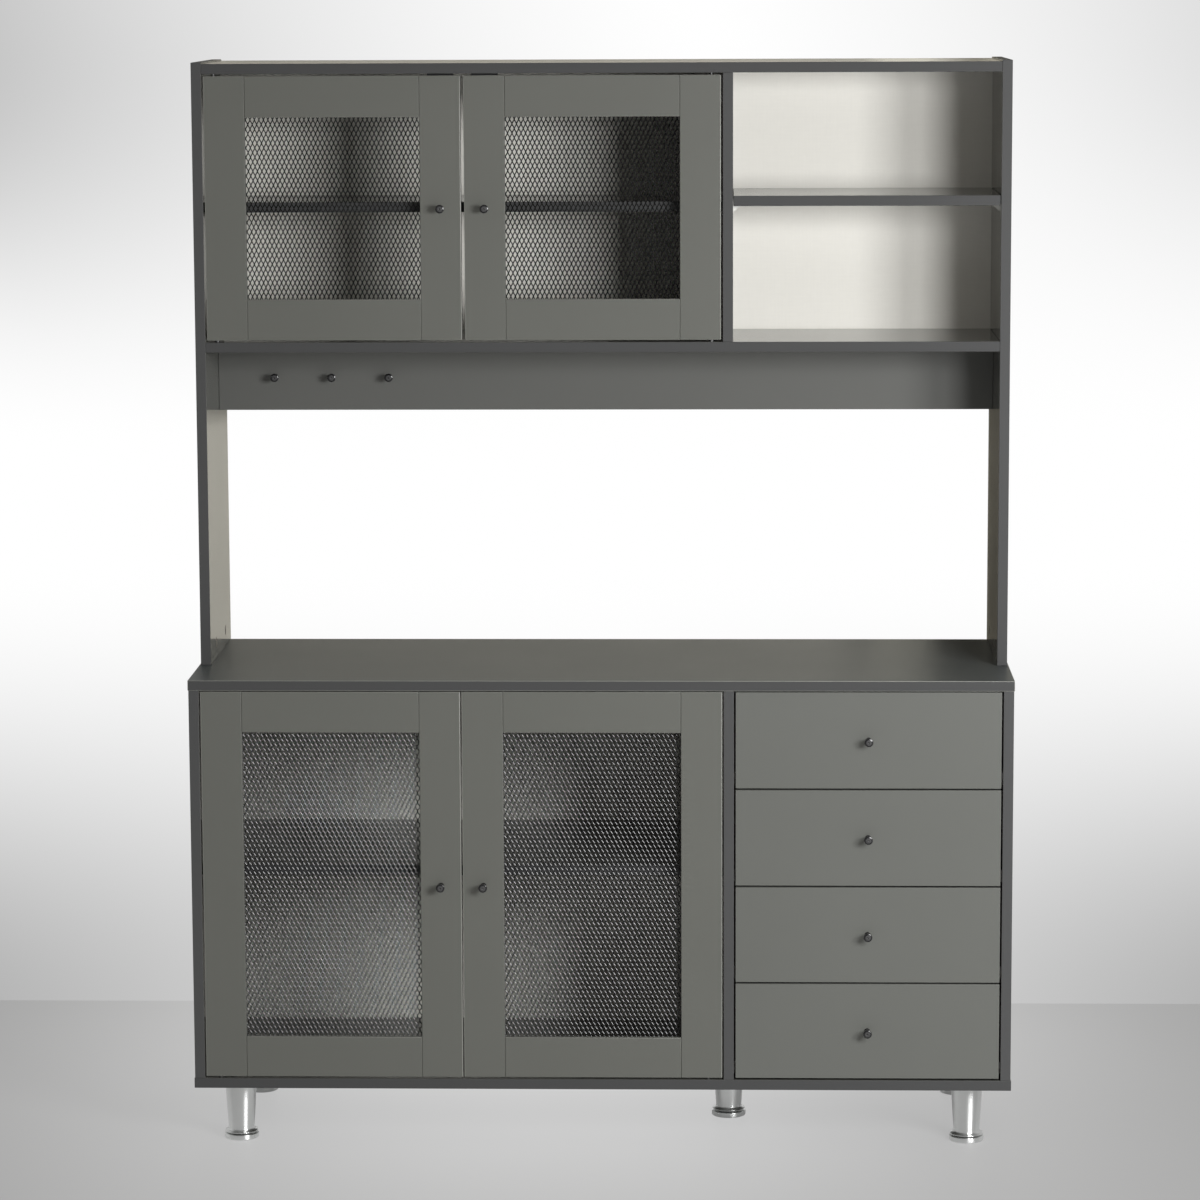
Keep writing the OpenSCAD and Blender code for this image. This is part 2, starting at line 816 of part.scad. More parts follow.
module drawer_front(n) {
    color([0.46, 0.47, 0.45])
        difference() {
            block(
                [drawer_left_x, front_y, drawer_z(n)],
                [drawer_right_x, box_front_y, drawer_z(n) + drawer_front_h]
            );
            drawer_bottom_space(n, groove_gap);
            translate([drawer_mid_x, front_y, drawer_z(n) + drawer_front_h / 2])
                rod_y(-1, front_t + 1, knob_screw_r + fit_gap);
        }
}

// The drawer's bottom panel, which sits in grooves in the front, the sides and the back
module drawer_bottom_space(n, grow) {
    low_z = box_z(n) + bottom_lift;
    block(
        [box_left_x + drawer_side_t - bottom_groove - grow, box_front_y - bottom_groove - grow, low_z - grow],
        [
            box_right_x - drawer_side_t + bottom_groove + grow,
            box_rear_y - drawer_side_t + bottom_groove + grow,
            low_z + drawer_bottom_t + grow
        ]
    );
}

module drawer_box(n) {
    low_z = box_z(n);
    high_z = low_z + drawer_box_h;
    color([0.85, 0.84, 0.80])
        difference() {
            union() {
                for (x = [box_left_x, box_right_x - drawer_side_t])
                    block([x, box_front_y, low_z], [x + drawer_side_t, box_rear_y, high_z]);
                block(
                    [box_left_x + drawer_side_t + glue_line, box_rear_y - drawer_side_t, low_z],
                    [box_right_x - drawer_side_t - glue_line, box_rear_y, high_z]
                );
            }
            drawer_bottom_space(n, groove_gap);
        }
    color([0.87, 0.86, 0.82])
        drawer_bottom_space(n, 0);
}

module drawer_knob(n) {
    translate([drawer_mid_x, front_y, drawer_z(n) + drawer_front_h / 2])
        knob(front_t);
}

// Nylon strips wrapped round the lower edges of the drawer box
module drawer_glides(n) {
    color([0.90, 0.90, 0.88])
        for (inward = [1, -1])
            translate([inward > 0 ? box_left_x : box_right_x, box_front_y + runner_start, box_z(n)])
                scale([inward, 1, 1])
                    union() {
                        block([-glide_t, 0, -glide_t], [drawer_side_t - 1, drawer_box_l - runner_start, 0]);
                        block([-glide_t, 0, -glide_t], [0, drawer_box_l - runner_start, glide_wrap]);
                    }
}

counter_top();
base_left_side();
base_right_side();
base_partition();
base_bottom_panel();
base_back_panel();
shelf(shelf_spaces[0]);  // base_shelf
hutch_left_side();
hutch_right_side();
hutch_top_panel();
hutch_floor_board();
hutch_partition();
hutch_back_panel();
shelf(shelf_spaces[1]);  // hutch_shelf
shelf(shelf_spaces[2]);  // bay_shelf
hook_rail();
rail_hooks();
leg(legs[0]);  // leg_front_left
leg(legs[1]);  // leg_front_right
leg(legs[2]);  // leg_middle
leg(legs[3]);  // leg_rear_left
leg(legs[4]);  // leg_rear_right
leg_screws();
shelf_supports();
drawer_runners();
pivot_bushes();
door_catches();
cam_fittings();
door_frame(upper_left);  // upper_left_door_frame
door_mesh(upper_left);  // upper_left_door_mesh
door_knob(upper_left);  // upper_left_door_knob
door_pivots(upper_left);  // upper_left_door_pivots
door_frame(upper_right);  // upper_right_door_frame
door_mesh(upper_right);  // upper_right_door_mesh
door_knob(upper_right);  // upper_right_door_knob
door_pivots(upper_right);  // upper_right_door_pivots
door_frame(lower_left);  // lower_left_door_frame
door_mesh(lower_left);  // lower_left_door_mesh
door_knob(lower_left);  // lower_left_door_knob
door_pivots(lower_left);  // lower_left_door_pivots
door_frame(lower_right);  // lower_right_door_frame
door_mesh(lower_right);  // lower_right_door_mesh
door_knob(lower_right);  // lower_right_door_knob
door_pivots(lower_right);  // lower_right_door_pivots
drawer_front(1);  // drawer_1_front
drawer_box(1);  // drawer_1_box
drawer_knob(1);  // drawer_1_knob
drawer_glides(1);  // drawer_1_glides
drawer_front(2);  // drawer_2_front
drawer_box(2);  // drawer_2_box
drawer_knob(2);  // drawer_2_knob
drawer_glides(2);  // drawer_2_glides
drawer_front(3);  // drawer_3_front
drawer_box(3);  // drawer_3_box
drawer_knob(3);  // drawer_3_knob
drawer_glides(3);  // drawer_3_glides
drawer_front(4);  // drawer_4_front
drawer_box(4);  // drawer_4_box
drawer_knob(4);  // drawer_4_knob
drawer_glides(4);  // drawer_4_glides
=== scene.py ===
# Kitchen hutch with mesh doors: finishes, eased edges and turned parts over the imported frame.
import bmesh
import bpy
import json
import math
from mathutils import Euler, Matrix, Vector


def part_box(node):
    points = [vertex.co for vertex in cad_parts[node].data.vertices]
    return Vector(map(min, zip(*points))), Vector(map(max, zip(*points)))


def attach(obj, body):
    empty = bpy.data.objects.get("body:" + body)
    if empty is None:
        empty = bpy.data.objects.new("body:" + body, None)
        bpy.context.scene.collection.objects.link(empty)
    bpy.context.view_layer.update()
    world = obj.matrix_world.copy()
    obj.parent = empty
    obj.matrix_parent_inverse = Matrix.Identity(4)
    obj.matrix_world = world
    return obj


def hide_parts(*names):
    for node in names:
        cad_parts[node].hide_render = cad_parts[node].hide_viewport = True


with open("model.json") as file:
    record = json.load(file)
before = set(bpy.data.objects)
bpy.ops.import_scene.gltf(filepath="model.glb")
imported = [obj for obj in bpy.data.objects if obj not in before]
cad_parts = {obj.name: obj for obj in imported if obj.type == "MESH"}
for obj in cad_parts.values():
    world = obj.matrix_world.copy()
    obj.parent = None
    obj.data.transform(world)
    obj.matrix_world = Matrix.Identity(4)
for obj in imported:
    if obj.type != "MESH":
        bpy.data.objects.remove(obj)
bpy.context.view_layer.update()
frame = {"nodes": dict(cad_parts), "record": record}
mm = 0.001
doors = ["upper_left_door", "upper_right_door", "lower_left_door", "lower_right_door"]
drawers = ["drawer_1", "drawer_2", "drawer_3", "drawer_4"]
legs = ["leg_front_left", "leg_front_right", "leg_middle", "leg_rear_left", "leg_rear_right"]
bodyOf = {node: body for body, nodes in frame["record"]["behaviour"]["bodies"].items() for node in nodes}
slotOf = {part["node"]: part["material_slot"] for part in frame["record"]["subparts"]}
print("frame loaded:", len(frame["nodes"]), "nodes")


# Shader maths: a signal is one output socket, and takes plain arithmetic
class Signal:
    def __init__(self, finish, socket):
        self.finish = finish
        self.socket = socket

    def maths(self, operation, *values):
        return self.finish.node("ShaderNodeMath", {"operation": operation}, dict(enumerate(values)))

    def __add__(self, other):
        return self.maths("ADD", self, other)

    def __radd__(self, other):
        return self.maths("ADD", other, self)

    def __sub__(self, other):
        return self.maths("SUBTRACT", self, other)

    def __rsub__(self, other):
        return self.maths("SUBTRACT", other, self)

    def __mul__(self, other):
        return self.maths("MULTIPLY", self, other)

    def __rmul__(self, other):
        return self.maths("MULTIPLY", other, self)

    def __truediv__(self, other):
        return self.maths("DIVIDE", self, other)

    def __pow__(self, other):
        return self.maths("POWER", self, other)

    def __rpow__(self, other):
        return self.maths("POWER", other, self)

    def size(self):
        return self.maths("ABSOLUTE", self)

    def wave(self):
        return self.maths("SINE", self)

    def dot(self, vector):
        operation = {"operation": "DOT_PRODUCT"}
        return self.finish.node("ShaderNodeVectorMath", operation, {0: self, 1: vector}, out="Value")

    def limited(self, low=0.0, high=1.0):
        return self.maths("MAXIMUM", self.maths("MINIMUM", self, high), low)


# The node tree of a material or of the world, which grows by one method
class Finish:
    def __init__(self, owner, shader, **fixed):
        owner.use_nodes = True
        self.owner = owner
        self.tree = owner.node_tree
        self.shader = self.tree.nodes[shader]
        for socket, value in fixed.items():
            self.shader.inputs[socket.replace("_", " ")].default_value = value

    def feed(self, socket, value):
        if isinstance(value, Signal):
            self.tree.links.new(value.socket, socket)
        elif isinstance(value, tuple) and len(value) == 3 and len(socket.default_value) == 4:
            socket.default_value = (*value, 1)   # a colour without its alpha
        else:
            socket.default_value = value

    def node(self, kind, settings=None, sockets=None, out=0):
        made = self.tree.nodes.new(kind)
        for name, value in (settings or {}).items():
            setattr(made, name, value)
        for name, value in (sockets or {}).items():
            self.feed(made.inputs[name], value)
        return Signal(self, made.outputs[out])

    def place(self, stretch=(1, 1, 1)):
        spot = self.node("ShaderNodeTexCoord", out="Object")
        return self.node("ShaderNodeMapping", sockets={"Vector": spot, "Scale": stretch})

    def axis(self, letter):
        return self.node("ShaderNodeSeparateXYZ", sockets={"Vector": self.place()}, out=letter)

    def noise(self, scale, detail=2.0, stretch=(1, 1, 1)):
        return self.node("ShaderNodeTexNoise", sockets={
            "Vector": self.place(stretch), "Scale": scale, "Detail": detail})

    def lightPath(self, kind):
        return self.node("ShaderNodeLightPath", out=kind)

    def blend(self, share, a, b):
        return self.node("ShaderNodeMix", {"data_type": "RGBA"}, {0: share, 6: a, 7: b}, out=2)

    def toned(self, share, colour, tones):
        # from a darker to a lighter tone of one colour
        return self.blend(share, shade(colour, tones[0]), shade(colour, tones[1]))

    def bump(self, height, depth):
        return self.node("ShaderNodeBump", sockets={"Height": height, "Distance": depth})

    def varies(self, **sockets):
        for name, value in sockets.items():
            self.feed(self.shader.inputs[name.replace("_", " ")], value)
        return self.owner


def newFinish(name, **fixed):
    return Finish(bpy.data.materials.new(name), "Principled BSDF", **fixed)


def shade(colour, amount):
    return tuple(min(1.0, c * amount) for c in colour)


# Foil and edging on the boards. All colours are linear
foil = {
    "doors": (0.116, 0.119, 0.107), "drawers": (0.120, 0.124, 0.114), "carcass": (0.105, 0.107, 0.098),
    # the rail's tone on the next line is the carcass foil made lighter, as painted light
    "rail": (0.112, 0.114, 0.107), "counter": (0.078, 0.086, 0.086), "edging": (0.056, 0.057, 0.058),
    # the lighter edge foil on the next line is a painted highlight on rounded front edges, on top of the
    # light that the rounding really catches
    "uprights": (0.064, 0.065, 0.066), "rimHighlights": (0.25, 0.255, 0.235), "roughness": 0.50,
    "cloud": {"scale": 5.0, "tones": (0.965, 1.035), "roughness": 0.06, "relief": 0.4},
    "peel": {"scale": 1100, "depth": 0.012 * mm, "roughness": 0.04},
    "fleck": {"scale": 2600, "above": 0.62, "gain": 1.6, "tone": 1.45},   # small lighter specks
}


def foilFinish(name, colour, roughness, level=0.5, grain=1.0, relief=0.5):
    cloud, peel, fleck = foil["cloud"], foil["peel"], foil["fleck"]
    f = newFinish(name, Specular_IOR_Level=level)
    cloudy = f.noise(cloud["scale"], 3.0)
    pitted = f.noise(peel["scale"], 1.5)
    specks = f.noise(fleck["scale"], 1.0)
    tone = f.toned(cloudy, colour, cloud["tones"])
    tone = f.blend((specks - fleck["above"]) * (fleck["gain"] * grain), tone, shade(colour, fleck["tone"]))
    return f.varies(
        Base_Color=tone,
        Roughness=roughness + (cloudy - 0.5) * cloud["roughness"] + (pitted - 0.5) * peel["roughness"],
        Normal=f.bump(pitted + cloudy * cloud["relief"], peel["depth"] * relief))


# Chipboard, seen in bores and grooves
chipboard = {
    "dark": (0.36, 0.25, 0.14), "light": (0.60, 0.46, 0.29), "chips": 420, "flatness": 3,
    "roughness": 0.85, "relief": 0.15 * mm,
}


def coreFinish():
    f = newFinish("chipboard core", Specular_IOR_Level=0.2)
    spot = f.place((1, 1, chipboard["flatness"]))
    sockets = {"Vector": spot, "Scale": chipboard["chips"]}
    chips = f.node("ShaderNodeTexVoronoi", {"feature": "F1"}, sockets, out="Color")
    grey = f.node("ShaderNodeSeparateColor", sockets={"Color": chips})
    return f.varies(
        Base_Color=f.blend(grey, chipboard["dark"], chipboard["light"]),
        Roughness=chipboard["roughness"] - grey * 0.1,
        Normal=f.bump(grey, chipboard["relief"]))


# Off-white printed hardboard of the back panels, with a fine linen pattern
linen = {
    "paper": (0.93, 0.912, 0.852), "tones": (0.93, 1.05), "roughness": 0.52, "relief": 0.03 * mm,
    "thread": 2.1 * mm, "sway": 0.9, "swayScale": 30,   # sway is how far a thread's wave wanders, in radians
    "weave": 0.45,                   # share of the even threads, slubs being the rest
    "slubs": 260, "slubRun": 0.18,   # thick stretches along the threads
}


def hardboardFinish(name):
    f = newFinish(name, Specular_IOR_Level=0.35)
    threads = 2 * math.pi / linen["thread"]
    sway = f.noise(linen["swayScale"]) * linen["sway"]
    warp = (f.axis("X") * threads + sway).wave()
    weft = (f.axis("Z") * threads + sway).wave()
    run = linen["slubRun"]
    upright = f.noise(linen["slubs"], stretch=(1, 1, run))
    level = f.noise(linen["slubs"], stretch=(run, 1, 1))
    slubs = (upright + level) * 0.5
    cloth = ((warp + weft) * 0.25 + 0.5) * linen["weave"] + slubs * (1 - linen["weave"])
    return f.varies(
        Base_Color=f.toned(cloth, linen["paper"], linen["tones"]),
        Roughness=linen["roughness"] + slubs * 0.12,
        Normal=f.bump(cloth, linen["relief"]))


# Off-white foil on the drawer boxes
boxFoil = {
    "dark": (0.70, 0.69, 0.64), "light": (0.78, 0.77, 0.73), "grain": 90, "run": 0.06,
    "roughness": 0.45, "relief": 0.02 * mm,
}


def drawerFinish():
    f = newFinish("drawer foil", Specular_IOR_Level=0.4)
    grain = f.noise(boxFoil["grain"], 4.0, (1, boxFoil["run"], 1))
    return f.varies(
        Base_Color=f.blend(grain, boxFoil["dark"], boxFoil["light"]),
        Roughness=boxFoil["roughness"] + grain * 0.1,
        Normal=f.bump(grain, boxFoil["relief"]))


# Powder coat and lacquer on steel
coat = {"speckle": 1900, "depth": 0.02 * mm, "dust": 40, "tones": (0.85, 1.2)}


def coatedSteel(name, colour, roughness, level, speckle=coat["speckle"], depth=coat["depth"]):
    f = newFinish(name, Specular_IOR_Level=level)
    peel = f.noise(speckle)
    dust = f.noise(coat["dust"], 3.0)
    return f.varies(
        Base_Color=f.toned(dust, colour, coat["tones"]),
        Roughness=roughness + (peel - 0.5) * 0.12 + (dust - 0.5) * 0.06,
        Normal=f.bump(peel, depth))


# Moulded plastic
moulded = {"cloud": 60, "grain": 1500, "tones": (0.94, 1.05), "relief": 0.01 * mm}


def plastic(name, colour, roughness):
    f = newFinish(name, Specular_IOR_Level=0.5)
    cloudy = f.noise(moulded["cloud"], 3.0)
    grain = f.noise(moulded["grain"])
    return f.varies(
        Base_Color=f.toned(cloudy, colour, moulded["tones"]),
        Roughness=roughness + (grain - 0.5) * 0.1,
        Normal=f.bump(grain, moulded["relief"]))


# Plated and bare metal
metal = {"cloud": 70, "fine": 900, "tones": (0.95, 1.03), "scratch": 0.06, "relief": 0.002 * mm}


def bareMetal(name, colour, roughness, scratch=metal["scratch"], stretch=(1, 1, 1), relief=metal["relief"],
              **fixed):
    f = newFinish(name, Metallic=1.0, **fixed)
    cloudy = f.noise(metal["cloud"], 3.0)
    fine = f.noise(metal["fine"], 3.0, stretch)
    return f.varies(
        Base_Color=f.toned(cloudy, colour, metal["tones"]),
        Roughness=roughness + (fine - 0.4) * scratch + (cloudy - 0.5) * (scratch * 0.5),
        Normal=f.bump(fine, relief))


knobLacquer = {"speckle": 700, "depth": 0.002 * mm}
finishes = {
    "front_grey": foilFinish("door foil", foil["doors"], foil["roughness"], level=0.4),
    "drawer_grey": foilFinish("drawer front foil", foil["drawers"], foil["roughness"], level=0.4),
    # painted highlight: a lighter foil for the rounded edges of doors and counter
    "front_rim_highlight": foilFinish("door foil with painted highlight at the edges", foil["rimHighlights"], 0.35),
    "carcass_grey": foilFinish("carcass foil", foil["carcass"], 0.14, relief=0.1),
    # the hook rail gets the carcass foil made lighter, painted light lifting the shade under the hutch floor
    "rail_lightened_grey": foilFinish("hook rail foil, lightened as painted light", foil["rail"], foil["roughness"], level=0.4),
    "counter_grey": foilFinish("counter laminate", foil["counter"], 0.40, level=0.15, relief=0.2),
    "edging": foilFinish("edging strip", foil["edging"], 0.60, level=0.3, grain=1.6),
    # the uprights' edging is the edging strip made lighter, painted light on their front edges
    "upright_edging_lightened": foilFinish("edging strip on uprights, lightened as painted light", foil["uprights"], 0.60, level=0.3, grain=1.6),
    "core": coreFinish(),
    "back_white": hardboardFinish("linen hardboard"),
    "drawer_white": drawerFinish(),
    "mesh_black": coatedSteel("black net coating", (0.005, 0.005, 0.0055), 0.22, 0.7),
    "mesh_below": coatedSteel("black net coating, duller", (0.005, 0.005, 0.0055), 0.24, 0.42),
    "knob_black": coatedSteel("black knob lacquer", (0.007, 0.007, 0.008), 0.20, 0.6, **knobLacquer),
    "knob_face_sheen": coatedSteel("satin knob face with painted sheen", (0.050, 0.050, 0.051), 0.40, 0.5, **knobLacquer),
    "leg_chrome": bareMetal("polished chrome", (0.80, 0.81, 0.80), 0.32, scratch=0.01, stretch=(1, 1, 0.1),
                            relief=0.0002 * mm, Anisotropic=0.90, Anisotropic_Rotation=0.25),
    "screw_zinc": bareMetal("bright zinc", (0.66, 0.67, 0.68), 0.30),
    "pin_steel": bareMetal("blackened steel", (0.10, 0.10, 0.10), 0.45, scratch=0.08, stretch=(0.1, 0.1, 4)),
    "runner_white": coatedSteel("white runner coating", (0.76, 0.76, 0.74), 0.38, 0.5),
    "support_white": plastic("white plastic", (0.80, 0.80, 0.77), 0.35),
    "nylon": plastic("natural nylon", (0.74, 0.73, 0.68), 0.48),
    "bush_grey": plastic("dark grey nylon", (0.070, 0.070, 0.066), 0.50),
    "catch_black": plastic("black plastic", (0.020, 0.020, 0.021), 0.42),
    "cam_grey": plastic("grey plastic", (0.105, 0.105, 0.098), 0.42),
}
print("finishes made:", len(finishes))


# Shapes
def newPiece(name, node, mesh, materials, replace=True):
    piece = bpy.data.objects.new(name, mesh)
    bpy.context.scene.collection.objects.link(piece)
    for material in materials:
        mesh.materials.append(material)
    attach(piece, bodyOf[node])
    if replace:
        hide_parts(node)
    return piece


def meshFrom(bm, name):
    mesh = bpy.data.meshes.new(name)
    bm.to_mesh(mesh)
    bm.free()
    return mesh


eased = {
    "weld": 0.002 * mm,      # corners nearer than this are one
    "flat": 0.05,            # faces that bend less than this are one, in degrees
    "onBox": 0.003 * mm,     # how near a corner lies to a side of its solid's box that it is on
    "margin": 0.01 * mm,     # added to the rounding, to tell the skin from bores and grooves
    "facing": 0.3,           # least share of a normal along an axis for a face to look that way
    "wide": 0.6,             # the same for the wide sides of a board, the rest being its edges
    "square": 0.9999,        # a face that looks less squarely along an axis is shaded smooth
    "ends": 3 * mm,          # how near the left or right end an upright rounded edge must lie for the painted highlight, as joints get none
}


def weldedCopy(node):
    bm = bmesh.new()
    bm.from_mesh(frame["nodes"][node].data)
    bmesh.ops.remove_doubles(bm, verts=bm.verts, dist=eased["weld"])
    return bm


def islandsOf(bm):
    # each separate solid as its vertices with its lowest and highest corner
    found, seen = [], set()
    for start in bm.verts:
        if start in seen:
            continue
        seen.add(start)
        members, edge = [start], [start]
        while edge:
            for link in edge.pop().link_edges:
                for v in link.verts:
                    if v not in seen:
                        seen.add(v)
                        members.append(v)
                        edge.append(v)
        low = Vector([min(v.co[i] for v in members) for i in range(3)])
        high = Vector([max(v.co[i] for v in members) for i in range(3)])
        found.append((members, low, high))
    return found


def solidsOf(node):
    # the lowest and highest corner of each solid in a node
    bm = weldedCopy(node)
    found = [(low, high) for members, low, high in islandsOf(bm)]
    bm.free()
    return found


def planesOf(co, low, high):
    # the sides of the solid's own box that a point lies on
    limits = ((0, low), (1, high))
    return {(i, side) for i in range(3) for side, limit in limits if abs(co[i] - limit[i]) < eased["onBox"]}


def easedCopy(node, radius, finish, edging=None, inner=None, steps=2, rim=None):
    # the node's own shape with its outer edges rounded over, each solid by itself
    bm = weldedCopy(node)
    bmesh.ops.dissolve_limit(bm, angle_limit=math.radians(eased["flat"]), verts=bm.verts, edges=bm.edges)
    outer = []
    for members, low, high in islandsOf(bm):
        inside = {v: planesOf(v.co, low, high) for v in members}
        for v in members:
            for e in v.link_edges:
                if e.verts[0] == v and len(inside[v] & inside[e.verts[1]]) >= 2:
                    outer.append(e)
    bmesh.ops.bevel(bm, geom=outer, offset=radius, offset_type="OFFSET", segments=steps, profile=0.5,
                    affect="EDGES", clamp_overlap=True)
    bm.normal_update()
    materials = [finish, edging or finish, inner or finish] + ([rim] if rim else [])
    wideSide, edgeSide, innerSide, highlightSide = range(4)
    left, right = (corner.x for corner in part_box(node))
    reach, facing = radius + eased["margin"], eased["facing"]
    for members, low, high in islandsOf(bm):
        size = high - low
        thick = min(range(3), key=lambda i: size[i])
        for face in {f for v in members for f in v.link_faces}:
            n, c = face.normal, face.calc_center_median()
            skin = any(n[i] < -facing and c[i] - low[i] < reach or n[i] > facing and high[i] - c[i] < reach
                       for i in range(3))
            along = wideSide if abs(n[thick]) > eased["wide"] else edgeSide
            face.material_index = along if skin else innerSide
            face.smooth = max(abs(k) for k in n) < eased["square"]
            # rounded outer edges on the outline take the lighter foil, a painted highlight over the light
            # that the rounding really catches
            outline = abs(n.z) > facing or min(c.x - left, right - c.x) < eased["ends"]
            if rim and skin and face.smooth and outline:
                face.material_index = highlightSide
    return newPiece(node + "_eased", node, meshFrom(bm, node), materials)


def arc(centre, radius, start, end, steps=6):
    # points of a round corner in an outline, by angle in degrees
    angles = [math.radians(start + (end - start) * i / steps) for i in range(steps + 1)]
    return [(centre[0] + radius * math.cos(a), centre[1] + radius * math.sin(a)) for a in angles]


def turnedMesh(name, outline, matrix, steps, closed=False):
    # an outline of radius and height in mm, spun about Z: from the axis round and back to it, or closed
    bm = bmesh.new()
    angles = [2 * math.pi * k / steps for k in range(steps)]
    rings = []
    for radius, height in outline:
        if radius == 0:
            rings.append([bm.verts.new((0, 0, height * mm))])
        else:
            rings.append([bm.verts.new((radius * mm * math.cos(a), radius * mm * math.sin(a), height * mm))
                          for a in angles])
    pairs = list(zip(rings, rings[1:])) + ([(rings[-1], rings[0])] if closed else [])
    for a, b in pairs:
        for k in range(steps):
            j = (k + 1) % steps
            corners = [a[k % len(a)], a[j % len(a)], b[j % len(b)], b[k % len(b)]]
            corners = list(dict.fromkeys(corners))
            if len(corners) > 2:
                bm.faces.new(corners)
    bmesh.ops.recalc_face_normals(bm, faces=bm.faces)
    bm.transform(matrix)
    for face in bm.faces:
        face.smooth = True
    mesh = meshFrom(bm, name)
    mesh.set_sharp_from_angle(angle=math.radians(35))
    return mesh


# Boards
boards = {
    "edge": 0.7 * mm, "panelEdge": 0.25 * mm,
    "carcass": [
        "base_bottom_panel", "base_shelf", "hutch_top_panel", "hutch_floor_board", "hutch_shelf", "bay_shelf",
    ],
    "uprights": [
        "base_left_side", "base_right_side", "base_partition",
        "hutch_left_side", "hutch_right_side", "hutch_partition",
    ],
    "panels": ["base_back_panel", "hutch_back_panel"],
}
for node in boards["carcass"]:
    easedCopy(node, boards["edge"], finishes["carcass_grey"], finishes["edging"], finishes["core"])
# The top panel's underside, seen in the slit over the doors, is duller, and takes the rail's lighter foil,
# which is painted light in a shaded place
shaded = bpy.data.objects["hutch_top_panel_eased"].data
shaded.materials.append(finishes["rail_lightened_grey"])
for face in shaded.polygons:
    if face.normal.z < -0.9:
        face.material_index = len(shaded.materials) - 1
for node in boards["uprights"]:
    # the uprights take the lightened edging, painted light on their front edges
    easedCopy(node, boards["edge"], finishes["carcass_grey"], finishes["upright_edging_lightened"], finishes["core"])
easedCopy("hook_rail", boards["edge"], finishes["rail_lightened_grey"], finishes["edging"], finishes["core"])
easedCopy("counter_top", boards["edge"], finishes["counter_grey"], finishes["edging"], finishes["core"],
          rim=finishes["front_rim_highlight"])
for node in boards["panels"]:
    easedCopy(node, boards["panelEdge"], finishes["back_white"])
print("boards eased")

# Door frames, drawer fronts, and the drawers' boxes and glides
fronts = {"edge": 1.0 * mm, "drawerEdge": 0.6 * mm, "boxEdge": 0.4 * mm, "glideEdge": 0.2 * mm}
for door in doors:
    easedCopy(door + "_frame", fronts["edge"], finishes["front_grey"], steps=3, rim=finishes["front_rim_highlight"])
for drawer in drawers:
    easedCopy(drawer + "_front", fronts["drawerEdge"], finishes["drawer_grey"], inner=finishes["core"])
    easedCopy(drawer + "_box", fronts["boxEdge"], finishes["drawer_white"], inner=finishes["core"])
    easedCopy(drawer + "_glides", fronts["glideEdge"], finishes["nylon"])
print("fronts and drawer boxes eased")

# Expanded metal in the doors: zigzag strips, each joined to its neighbours over a bond's height in turn
net = {
    "across": 6.6 * mm,       # diamond width, centre to centre
    "upright": 13.6 * mm,     # diamond height, centre to centre
    "bond": {"upper": 1.2 * mm, "lower": 2.4 * mm},   # height over which two strips run together
    "thick": {"upper": 0.30 * mm, "lower": 0.40 * mm},
    "flat": 0.55,             # share of a strip's width that is flat
    "strand": {"upper": 3.0 * mm, "lower": 2.1 * mm},
    # turn of a strip's flat side towards +X, in degrees, where the strip leans one way and the other
    "twist": {"upper": (-50, -50), "lower": (22, -15)},
    "nodeTuck": 8 * mm,       # how far the sheet of the solids runs behind the door frame
    "tuck": 5 * mm,           # and how far the net does
    "apart": 0.015 * mm,      # every second strip lies this far back, so that faces of two never coincide
}


def netMesh(door):
    node, kind = door + "_mesh", door.split("_")[0]
    low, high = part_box(node)
    border = net["nodeTuck"] - net["tuck"]
    x0, x1, z0, z1 = low.x + border, high.x - border, low.z + border, high.z - border
    middle = (low.y + high.y) / 2
    rings = []
    for turn in map(math.radians, net["twist"][kind]):
        wide = Vector((math.cos(turn), math.sin(turn), 0)) * net["strand"][kind] / 2
        deep = Vector((-math.sin(turn), math.cos(turn), 0)) * net["thick"][kind] / 2
        flat = wide * net["flat"]
        rings.append([wide, flat + deep, deep - flat, -wide, -flat - deep, flat - deep])
    sides = len(rings[0])
    half, step, bond = net["across"] / 2, net["upright"] / 2, net["bond"][kind]
    columns, rows = int((x1 - x0) / half) - 1, int((z1 - z0) / step)
    startX, startZ = (x0 + x1 - columns * half) / 2, (z0 + z1 - rows * step) / 2
    points, faces = [], []
    for i in range(columns):
        first = len(points)
        for j in range(rows + 1):
            x = startX + (i + (i + j) % 2) * half
            for end, shift in enumerate((-bond / 2, bond / 2)):
                z = min(max(startZ + j * step + shift, startZ), startZ + rows * step)
                spot = Vector((x, middle + i % 2 * net["apart"], z))
                points += [spot + corner for corner in rings[(i + j + end) % 2]]
        last = len(points) - sides
        for k in range(first, last, sides):
            for n in range(sides):
                m = (n + 1) % sides
                faces.append((k + n, k + m, k + sides + m, k + sides + n))
        faces += [tuple(range(first + sides - 1, first - 1, -1)), tuple(range(last, last + sides))]
    mesh = bpy.data.meshes.new(node)
    mesh.from_pydata(points, [], faces)
    return mesh


for door in doors:
    coating = finishes["mesh_below" if door.startswith("lower") else "mesh_black"]
    newPiece(door + "_net", door + "_mesh", netMesh(door), [coating])
print("nets made")

# Knobs and hooks, turned from one outline, with screws behind. Sizes are radii, heights and depths in mm
knob = {
    "proud": 20, "head": 6.25, "waist": 3.75, "round": 0.7, "bevelDepth": 0.6, "face": 3.9, "steps": 72,
    "base": 4.5, "baseDepth": 0.5, "sweep": 2.6, "sweepUp": 2.2,   # disc at the foot, and the hollow curve
    "neck": 7.5, "swell": 9.0,     # height of the waist's end, and of the swell between it and the head
    "dimple": ((1.2, 0), (0.8, 0.3), (0, 0.45)),   # radius and depth of a shallow dimple in the face
    "screw": 2.0, "screwTip": 1.4, "screwTaper": 1, "screwReach": 10,   # it runs this deep into the knob
    "screwHead": 4.0, "screwHeadDepth": 2.0, "screwRim": 0.5, "screwSteps": 32,
    "frontThick": 16, "railThick": 15,   # boards that the screws run through
}


